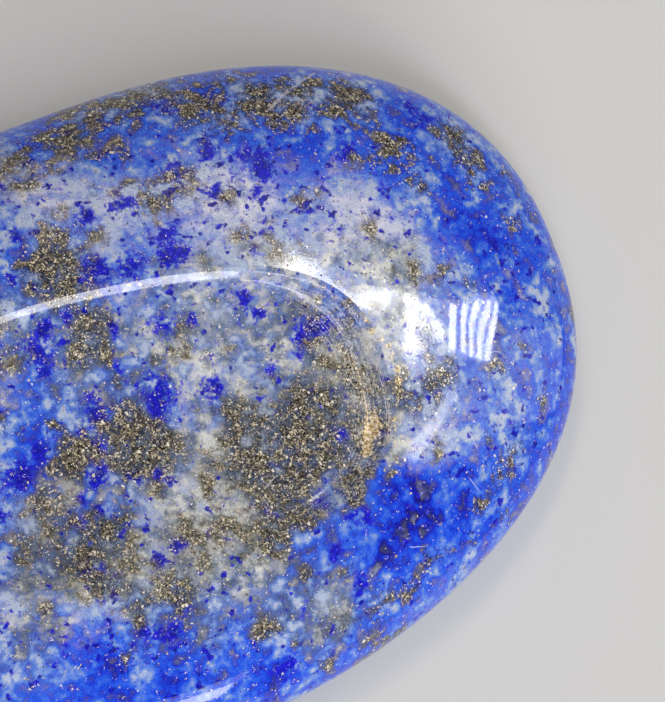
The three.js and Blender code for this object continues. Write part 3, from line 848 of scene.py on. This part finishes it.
def tell(step):
    """Prints how far the material has got."""
    print(step, "laid on, nodes so far:", len(tree.nodes))


cloud = noise(0.35)
mottle = noise(0.85)
blotch = noise(1.7, shift=17.0)
fray = noise(3.6, shift=31.0)
ragged = noise(8.0)
grain = noise(15.0, detail=2.0, roughness=0.7)
tell("Shared noises")

# %% Fetch what was kept on the mesh


def on_mesh(name):
    return bench.node("ShaderNodeAttribute", {"attribute_name": name}, output="Fac")


pyrite = on_mesh("pyrite")
ink = on_mesh("ink")
calcite = on_mesh("calcite")
cobalt = on_mesh("cobalt")
veil = on_mesh("veil")
haze = on_mesh("haze")
seam = on_mesh("seam")
wall = on_mesh("wall")
wall_depth = on_mesh("wall_depth")
tell("Attributes")

# %% [markdown]
# ## The blue ground
#
# Lazurite runs from a pale sky blue to a deep cobalt on one stone. Two blues could be mixed, but the real
# change passes through a strong clear blue halfway, so a ramp of seven is used. The listed clouds set
# the depth roughly, and the noises break it up.

# %% The blue ground
BLUE_STOPS = (
    (0.0, tint(172, 188, 220)),
    (0.2, tint(112, 146, 222)),
    (0.38, tint(58, 106, 228)),
    (0.54, tint(30, 82, 228)),
    (0.7, tint(16, 58, 214)),
    (0.85, tint(8, 20, 172)),
    (1.0, tint(7, 7, 106)),
)
MIDDLE_BLUE = 0.47
# The veils lighten the blue: partly calcite, partly a painted reflection over the far shoulder and the right
# end.
depth = MIDDLE_BLUE + cobalt * 0.24 - calcite * 0.14 - veil * 0.2 - haze * 0.06
depth = depth + cloud * 0.8 + mottle * 1.3 + blotch * 1.1 + fray * 0.5 + ragged * 0.12
ground = depth.ramp(BLUE_STOPS)
tell("Blue ground")

# %% [markdown]
# ## Grey diopside
#
# Diopside is a dull grey mineral that rings the matrix and dims the blue in patches. It could be one more
# stop of the ramp, but it comes and goes whatever the blue does. So it has a mask of its own, and every
# mineral after it is made the same way: a sum says how much of it there is, a soft step turns the sum into a
# mask, and the mask lays its colour over what is there.

# %% The stain of diopside
STAIN_COLOUR = tint(80, 87, 87)
STAIN_START = 0.04
STAIN_STEP = (0.1, 0.85)
STAIN_COVER = 0.82
stain = STAIN_START + pyrite * 0.7 + haze * 0.75 - cobalt * 0.25 + mottle * 1.3 + blotch * 1.3 + fray * 0.5
stain = stain.ease(*STAIN_STEP)
ground = (stain * STAIN_COVER).over(ground, STAIN_COLOUR)
tell("Diopside")

# %% [markdown]
# ## Calcite
#
# Calcite is the white of the rock. It is a little clear, so it takes on the tone of what lies under it:
# lilac over blue, and neutral over grey. Each tone has a ramp, and the diopside decides between them. The
# step is wide, because these clouds have no edge.

# %% Calcite clouds, lilac where they lie in the blue and neutral in the grey
LILAC_STOPS = (
    (0.2, tint(104, 124, 210)),
    (0.45, tint(166, 174, 218)),
    (0.75, tint(226, 229, 240)),
)
CHALK_STOPS = (
    (0.2, tint(84, 98, 116)),
    (0.45, tint(140, 153, 164)),
    (0.75, tint(222, 227, 226)),
)
CHALK_STEP = (0.05, 0.95)
CHALK_COVER = 0.9
MIDDLE_TONE = 0.47
GREY_STEP = (0.15, 0.7)
# Here the veils add to the calcite, partly as a painted reflection.
chalk = calcite * 0.66 + veil * 0.32 + haze * 0.14 - cobalt * 0.25
chalk_noise = cloud * 0.6 + mottle * 1.6 + blotch * 1.4 + fray * 0.4
chalk = chalk + chalk_noise * (0.6 + haze * 0.5 + calcite * 0.4)
chalk = chalk.ease(*CHALK_STEP)
tone = MIDDLE_TONE + calcite * 0.2 + noise(1.3, detail=3.0, roughness=0.6, shift=53.0) * 2.0
greyness = (haze + mottle * 0.3).ease(*GREY_STEP)
chalk_colour = greyness.over(tone.ramp(LILAC_STOPS), tone.ramp(CHALK_STOPS))
ground = (chalk * CHALK_COVER).over(ground, chalk_colour)
tell("Calcite")

# %% [markdown]
# ## Ink-blue blots
#
# The darkest lazurite stands in small angular blots, and round the large ones it shines through the calcite
# as a halo of clear blue. The large blots are listed, and a noise strews the small ones.

# %% Ink-blue blots and their halo
INK_STOPS = (
    (0.3, tint(8, 4, 132)),
    (0.7, tint(20, 20, 212)),
)
HALO_COLOUR = tint(44, 66, 222)
HALO_STEP = (0.08, 0.45)
HALO_COVER = 0.6
PLACED_STEP = (0.22, 0.62)
STREWN_STEP = (0.42, 0.76)
INK_COVER = 0.97
placed_ink = ink + blotch * 0.4 + fray * 1.3 + ragged * 0.6
strewn_ink = noise(2.1, shift=71.0) * 3.0 + ragged * 0.7 + cobalt * 0.1 + veil * 0.2
blot = placed_ink.ease(*PLACED_STEP).either(strewn_ink.ease(*STREWN_STEP))
ink_tone = 0.5 + fray * 1.2 + ragged * 0.6
ground = (placed_ink.ease(*HALO_STEP) * HALO_COVER).over(ground, HALO_COLOUR)
ground = (blot * INK_COVER).over(ground, ink_tone.ramp(INK_STOPS))
tell("Ink blots")

# %% [markdown]
# ## The brown matrix
#
# Pyrite sits in a brown-grey matrix, dark in its middle and frayed at its edge. The noise in the sum is
# strong, so it would also make brown islands where there is no pyrite. A second mask, which is 1 only near
# pyrite, takes them away.

# %% The brown matrix
MATRIX_STOPS = (
    (0.2, tint(26, 23, 14)),
    (0.42, tint(58, 52, 34)),
    (0.6, tint(88, 81, 56)),
    (0.85, tint(122, 116, 92)),
)
MATRIX_STEP = (0.02, 0.84)
NEAR_STEP = (0.02, 0.38)
MATRIX_COVER = 0.9
matrix = pyrite * 0.72 + haze * 0.04 + mottle * 1.3 + blotch * 1.7 + fray * 1.0 + ragged * 0.25
near_pyrite = (pyrite + haze * 0.16).ease(*NEAR_STEP)
matrix = matrix.ease(*MATRIX_STEP) * near_pyrite
matrix_tone = 0.45 + blotch * 0.5 + fray * 0.9 + ragged * 1.2
ground = (matrix * MATRIX_COVER).over(ground, matrix_tone.ramp(MATRIX_STOPS))
tell("Matrix")

# %% [markdown]
# ## The gold seam, with a painted warm reflection
#
# Along the crest at the hollow's head the wheel cut through solid pyrite, which shows as a thin seam of warm
# gold with two streaks running down from it. Their pale gold is partly the pyrite and partly a painted warm
# reflection of light on that wall. The clouds for it are half a millimetre wide at most, so the noise only
# has to roughen their edges.

# %% The seam of gold at the hollow's head, partly a painted warm reflection
GOLD_STOPS = (
    (0.2, tint(138, 116, 72)),
    (0.5, tint(208, 182, 128)),
    (0.8, tint(252, 238, 202)),
)
GOLD_STEP = (0.2, 0.55)
GOLD_COVER = 0.9
gold = (seam + fray * 0.6 + ragged * 0.9).ease(*GOLD_STEP)
gold_tone = 0.5 + ragged * 1.6 + grain * 1.2
# Partly pyrite, partly a painted warm reflection of light on the head wall.
ground = (gold * GOLD_COVER).over(ground, gold_tone.ramp(GOLD_STOPS))
tell("Gold seam")

# %% [markdown]
# ## The grain
#
# The crystals of the rock differ in brightness and hardly in hue. Adding a noise to the colour as the shader
# holds it would turn the dark blues milky, because a small step down there is a large one to the eye. So
# a Gamma node takes the colour to the eye's own scale, the grain is added there, nothing may get darker
# than nearly black, and a second Gamma node takes the colour back.

# %% The grain
EYE_GAMMA = 2.2
DARKEST = (0.02, 0.02, 0.02)
grain_lift = grain * (0.32 + veil * 0.16 + pyrite * 0.5) + ragged * (0.1 + pyrite * 0.3)
seen = bench.node("ShaderNodeGamma", None, {"Color": ground, "Gamma": 1 / EYE_GAMMA})
seen = bench.node("ShaderNodeVectorMath", {"operation": "ADD"}, {0: seen, 1: grain_lift})
seen = bench.node("ShaderNodeVectorMath", {"operation": "MAXIMUM"}, {0: seen, 1: DARKEST})
ground = bench.node("ShaderNodeGamma", None, {"Color": seen, "Gamma": EYE_GAMMA})
tell("Grain")

# %% [markdown]
# ## Pyrite specks and pits
#
# Pyrite fills the brown matrix with brassy specks, and a few are strewn through the blue. A Voronoi pattern
# gives every cell its own random colour. One channel picks which cells hold a speck, and another says how
# brightly it shines. The pattern is bent by a noise first, which makes the specks angular instead of round,
# and three sizes keep them from looking sieved. Soft grains fell out under the wheel and left tiny pits,
# which stay dull when light runs over the polish. Their dark colour is painted shade in the pits.

# %% A layer of specks
BEND_SCALE = 7.0
BEND_REACH = (0.22, 0.22, 0.22)
SPECK_EDGE = 0.7
bend = bench.node("ShaderNodeTexNoise", None, {"Vector": place, "Scale": BEND_SCALE}, "Color")
bent_place = bench.node(
    "ShaderNodeVectorMath",
    {"operation": "MULTIPLY_ADD"},
    {0: bend, 1: BEND_REACH, 2: place},
)


def specks(scale, share, size):
    """A mask of specks, so many to the millimetre, and how brightly each one shines."""
    cell = bench.node("ShaderNodeTexVoronoi", None, {"Vector": bent_place, "Scale": scale}, "Distance")
    pick = bench.node("ShaderNodeSeparateColor", None, {0: cell.twin("Color")}, "Red")
    glint = pick.twin("Green")
    return (pick < share) * (1 - cell.ease(size * SPECK_EDGE, size)), glint


dust, dust_glint = specks(16.0, matrix * 0.13 + stain * 0.03 + 0.008, 0.55)
small, small_glint = specks(10.0, matrix * 0.14 + stain * 0.02 + 0.006, 0.52)
big, big_glint = specks(5.8, matrix * 0.15 + 0.003, 0.47)
pit, _ = specks(7.5, matrix * 0.16 + chalk * 0.05 + 0.02, 0.4)
tell("Masks of specks and pits")

# %% [markdown]
# Some of the pyrite isn't in grains but in thin curled flecks, like filings. Where a smooth noise passes
# through zero it draws winding lines. Its square is tiny only on them, so a soft step of the square gives
# thin curls, and a second noise is a gate that leaves short pieces.

# %% Curled flecks
SPECK_STOPS = (
    (0.0, tint(92, 82, 56)),
    (0.3, tint(168, 154, 118)),
    (0.6, tint(234, 223, 192)),
    (1.0, tint(255, 254, 248)),
)
CURL_STEP = (0.0004, 0.0016)
GATE_STEP = (0.21, 0.27)
WISP_COVER = 0.9
curl = noise(6.5, shift=43.0)
gate = noise(4.5, detail=0.0, shift=59.0) + matrix * 0.17
wisp = (1 - (curl * curl).ease(*CURL_STEP)) * gate.ease(*GATE_STEP)
wisp_tone = 0.6 + ragged * 2.0
ground = (wisp * WISP_COVER).over(ground, wisp_tone.ramp(SPECK_STOPS))
tell("Curled flecks")

# %% Lay on the specks, and the painted shade of the pits
SPECK_COVER = 0.92
PIT_SHADE_COLOUR = tint(38, 33, 26)
PIT_SHADE_COVER = 0.8
for mask, glint in ((dust, dust_glint), (small, small_glint), (big, big_glint)):
    ground = (mask * SPECK_COVER).over(ground, glint.ramp(SPECK_STOPS))
# Painted shade: the pits are darkened as if shade filled them.
ground = (pit * PIT_SHADE_COVER).over(ground, PIT_SHADE_COLOUR)
tell("Specks and pits")

# %% [markdown]
# ## The wheel's marks
#
# At the hollow's head the grinding wheel scoured fine lines along the wall. They follow its curve, so a
# straight pattern would cross them. How far down the wall each point lies was kept on the mesh, and a noise
# in one dimension, read along that depth, gives lines of uneven width that bend with the wall. They are cut
# as relief, and the pale colour laid along them is a painted highlight of light catching the lines.

# %% Wheel lines on the hollow's end wall
LINES_ACROSS = 190.0
WHEEL_HIGHLIGHT_COLOUR = tint(206, 208, 214)
WHEEL_HIGHLIGHT_STEP = (0.5, 0.75)
WHEEL_HIGHLIGHT_COVER = 0.6
lines = bench.node(
    "ShaderNodeTexNoise",
    {"noise_dimensions": "1D"},
    {"W": wall_depth * LINES_ACROSS, "Scale": 1.0, "Detail": 1.0},
    "Fac",
)
wheel_lines = (lines - 0.5) * wall
# Painted highlight: a pale colour along the wheel lines, standing for light catching them.
painted_wheel_highlight = (lines + ragged * 1.3).ease(*WHEEL_HIGHLIGHT_STEP) * wall
ground = (painted_wheel_highlight * WHEEL_HIGHLIGHT_COVER).over(ground, WHEEL_HIGHLIGHT_COLOUR)
tell("Wheel lines")

# %% [markdown]
# ## Scratches and a healed crack
#
# A stone that is carried in a pocket gets a few hairline scratches, and this one also has a crack that
# calcite healed long ago. Cutting lines of a few hundredths of a millimetre into the mesh would take
# millions of faces. Two dot products are enough: one says how far along the line a point lies, and the
# other how far to its side. These sums don't look at height, so a third mask keeps the lines off the base.

# %% A fine line
TOP_STEP = (3.6, 4.0)
LINE_TAPER = 0.3
top_side = bench.node("ShaderNodeSeparateXYZ", None, {0: place}, "Z").ease(*TOP_STEP)


def dot(vector, direction):
    inputs = {0: vector, 1: direction}
    return bench.node("ShaderNodeVectorMath", {"operation": "DOT_PRODUCT"}, inputs, "Value")


def fine_line(start, end, width):
    """1 on a thin line between two points of the plan, in millimetres, thinning out at its ends."""
    run = Vector(end) - Vector(start)
    length = run.length
    along = (run.x / length, run.y / length, 0)
    across = (-run.y / length, run.x / length, 0)
    offset = bench.node("ShaderNodeVectorMath", {"operation": "SUBTRACT"}, {0: place, 1: (*start, 0)})
    travel = dot(offset, along)
    aside = dot(offset, across) + fray * (2 * width)
    inside = travel.ease(0, LINE_TAPER) * (length - travel).ease(0, LINE_TAPER)
    return (1 - (aside * aside).ease(0, width ** 2)) * inside * top_side


# %% The healed crack and the scratches
CRACK = (
    ((11.3, 10.9), (13.2, 11.7), 0.1),
    ((13, 11.6), (15.2, 12.2), 0.08),
)
SCRATCHES = (
    ((13.85, -6.3), (14.1, -7.75), 0.035),
    ((3.4, -5.6), (4.3, -5.2), 0.03),
    ((13.1, -8.6), (13.5, -9.6), 0.03),
    ((16.2, -3.4), (17.3, -3.9), 0.03),
    ((8.9, -10.6), (9.9, -10.9), 0.03),
)
LINE_COLOUR = tint(206, 212, 234)
CRACK_COVER = 0.5
SCRATCH_COVER = 0.75


def all_lines(rows):
    """One mask for several fine lines."""
    mask = fine_line(*rows[0])
    for row in rows[1:]:
        mask = mask.either(fine_line(*row))
    return mask


scratches = all_lines(SCRATCHES)
ground = (all_lines(CRACK) * CRACK_COVER).over(ground, LINE_COLOUR)
ground = (scratches * SCRATCH_COVER).over(ground, LINE_COLOUR)
tell("Crack and scratches")

# %% [markdown]
# ## The polish
#
# The polish is almost a mirror, and what breaks it is small: pits, specks of metal, the scoured wall and the
# scratches. The masks that gave the colour now add their shares of roughness and of relief. The relief is
# in millimetres, and at a few thousandths of one it would never show in the outline, so a Bump node does
# for it.

# %% Polish, relief and the finished shader
POLISHED = 0.03
METAL_SHARE = 0.15
STONE_IOR = 1.5
speck = big.either(small).either(wisp).either(dust * 0.5)
roughness = POLISHED + chalk * 0.02 + matrix * 0.03 + speck * 0.2 + pit * 0.5 + wall * 0.08
relief = ragged * 0.0005 + grain * 0.00012 - pit * 0.006 + wheel_lines * 0.005 - scratches * 0.003
bump = bench.node("ShaderNodeBump", None, {"Strength": 1.0, "Distance": MM, "Height": relief}, "Normal")
shader = bench.node(
    "ShaderNodeBsdfPrincipled",
    None,
    {
        "Base Color": ground,
        "Roughness": roughness,
        "Metallic": speck * METAL_SHARE,
        "Normal": bump,
        "IOR": STONE_IOR,
    },
)
closing = tree.nodes.new("ShaderNodeOutputMaterial")
tree.links.new(shader.socket, closing.inputs["Surface"])
stone.data.materials.append(lapis)
tell("Polish")

# %% [markdown]
# ## The light
#
# A polished stone is a curved mirror, so its look is made by what stands round it. Each lamp is a soft
# panel that faces the stone, given by where it stands as seen from the stone, and by how many degrees of
# that view it fills. Its glow is what the panel would look like to the eye, which makes the strength of a
# reflection easy to plan: the polish mirrors a twenty-fifth of it.

# %% Soft panels
LAMP_AIM = Vector((12.0, -1.0, 8.0)) * MM
LAMP_DISTANCE = 0.5


def hang_panel(name, azimuth, elevation, width, height, glow, roll=0, lift=0, colour=(1, 1, 1)):
    """A soft panel, placed, sized, rolled and lifted in degrees as seen from the stone."""
    azimuth, elevation, roll = map(math.radians, (azimuth, elevation, roll))
    outward = Vector((
        math.cos(azimuth) * math.cos(elevation),
        math.sin(azimuth) * math.cos(elevation),
        math.sin(elevation),
    ))
    level = Vector((-math.sin(azimuth), math.cos(azimuth), 0))
    steep = outward.cross(level)
    across = level * math.cos(roll) - steep * math.sin(roll)
    upward = level * math.sin(roll) + steep * math.cos(roll)
    lamp = bpy.data.lights.new(name, "AREA")
    lamp.shape = "RECTANGLE"
    lamp.size = 2 * LAMP_DISTANCE * math.tan(math.radians(width) / 2)
    lamp.size_y = 2 * LAMP_DISTANCE * math.tan(math.radians(height) / 2)
    lamp.energy = glow * math.pi * lamp.size * lamp.size_y
    lamp.color = colour
    panel = bpy.data.objects.new(name, lamp)
    panel.matrix_world = Matrix((across, upward, outward)).transposed().to_4x4()
    shift = upward * LAMP_DISTANCE * math.tan(math.radians(lift))
    panel.matrix_world.translation = LAMP_AIM + outward * LAMP_DISTANCE + shift
    panel.visible_camera = False
    bpy.context.scene.collection.objects.link(panel)
    print("Panel", name, "at, m:", tuple(round(value, 3) for value in panel.matrix_world.translation))
    return panel


# %% [markdown]
# A tall window stands beyond the stone's head. It shows as two bright panes in a softer haze, and below them
# as the slats of a blind. One large panel would give a plain white patch, so each pane and each slat is a
# panel of its own. The blind hangs askew and the stone bends its reflection, so each slat is turned a
# little more than the one before.

# %% The window, its haze and its blind
WINDOW = {"elevation": 47, "roll": 20}
hang_panel("upper_pane", azimuth=2.6, width=2.6, height=1.7, lift=4.4, glow=17, **WINDOW)
hang_panel("lower_pane", azimuth=-2.0, width=2.4, height=1.8, lift=4.8, glow=17, **WINDOW)
hang_panel("window_haze", azimuth=0, width=8, height=19, lift=1.2, glow=3.8, **WINDOW)
SLATS = ((0.3, 2.0), (-2.8, 1.4), (-4.7, 0.95), (-6.2, 0.85), (-7.7, 1.0))
SLAT_WIDTH = 7.2
SLAT_GLOW = 16
SLAT_DRIFT = 0.5
SLAT_CLIMB = 0.94
SLAT_ROLL = 40
SLAT_FAN = 1.4
for slat_lift, slat_height in SLATS:
    hang_panel(
        "slat",
        azimuth=SLAT_DRIFT * slat_lift,
        elevation=WINDOW["elevation"] + SLAT_CLIMB * slat_lift,
        width=SLAT_WIDTH,
        height=slat_height,
        glow=SLAT_GLOW,
        roll=SLAT_ROLL + SLAT_FAN * slat_lift,
    )

# %% [markdown]
# The line of light round the hollow's rim is the reflection of one narrow panel, squeezed by the tight
# curve of the crest. A weaker, wider one round it gives the line a soft edge. The others fill in: soft boxes
# along the lower side, one light for the crest there, a curtain of light beside the window, a warm lamp that
# picks out the gold, one light from behind, and two faint ones for the ceiling and the side wall.

# %% The ribbon on the rim, and the room round the stone
WARM_WHITE = (1, 0.97, 0.92)
LILAC_WHITE = (0.92, 0.86, 1)
AMBER = (1, 0.7, 0.34)
hang_panel("ribbon", azimuth=16, elevation=56.9, width=10, height=2.0, glow=13, roll=-31)
hang_panel("ribbon_haze", azimuth=17, elevation=57, width=15, height=4.0, glow=3, roll=-31)
hang_panel("ceiling", azimuth=30, elevation=51.5, width=42, height=19, glow=0.25)
hang_panel("side_wall", azimuth=-16, elevation=27, width=17, height=50, glow=1.0)
SOFT_BOX = {"roll": 8, "colour": WARM_WHITE}
hang_panel("long_softbox", azimuth=-99.5, elevation=27, width=45, height=8, glow=8.5, **SOFT_BOX)
HIGH_BOX = {"roll": 31, "colour": WARM_WHITE}
hang_panel("high_softbox", azimuth=-105, elevation=43, width=24, height=6, glow=7, **HIGH_BOX)
hang_panel("softbox_haze", azimuth=-100, elevation=28.5, width=47, height=15, glow=1.9, **SOFT_BOX)
CREST_BOX = {"roll": 20, "colour": LILAC_WHITE}
hang_panel("crest_light", azimuth=-128, elevation=57, width=34, height=7, glow=8, **CREST_BOX)
hang_panel("curtain", azimuth=-18, elevation=50.2, width=9.5, height=3, glow=6, roll=32)
hang_panel("warm_lamp", azimuth=138, elevation=66, width=17, height=7, glow=14, colour=AMBER)
hang_panel("back_light", azimuth=-178, elevation=62, width=30, height=4, glow=6)

# %% The room's own glow, and plain colours
ROOM_GLOW = 0.2
world = bpy.data.worlds.new("studio")
world.use_nodes = True
world.node_tree.nodes["Background"].inputs["Color"].default_value = (1, 1, 1, 1)
world.node_tree.nodes["Background"].inputs["Strength"].default_value = ROOM_GLOW
bpy.context.scene.world = world
bpy.context.scene.view_settings.view_transform = "Standard"
print("Room glow:", ROOM_GLOW)

# %% [markdown]
# ## The floor
#
# The stone lies on a plain pale sheet.

# %% Floor
FLOOR_HALF = 1.5
PAPER_COLOUR = tint(208, 212, 214)
PAPER_ROUGHNESS = 0.8
sheet = bmesh.new()
bmesh.ops.create_grid(sheet, x_segments=1, y_segments=1, size=FLOOR_HALF)
floor_mesh = bpy.data.meshes.new("floor")
sheet.to_mesh(floor_mesh)
sheet.free()
floor = bpy.data.objects.new("floor", floor_mesh)
bpy.context.scene.collection.objects.link(floor)
paper = bpy.data.materials.new("pale_paper")
paper.use_nodes = True
paper_shader = paper.node_tree.nodes["Principled BSDF"]
paper_shader.inputs["Base Color"].default_value = PAPER_COLOUR
paper_shader.inputs["Roughness"].default_value = PAPER_ROUGHNESS
floor_mesh.materials.append(paper)
print("Floor, m across:", 2 * FLOOR_HALF)

# %% Hand the stone to the frame
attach(stone, "root")
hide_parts("worry_stone")
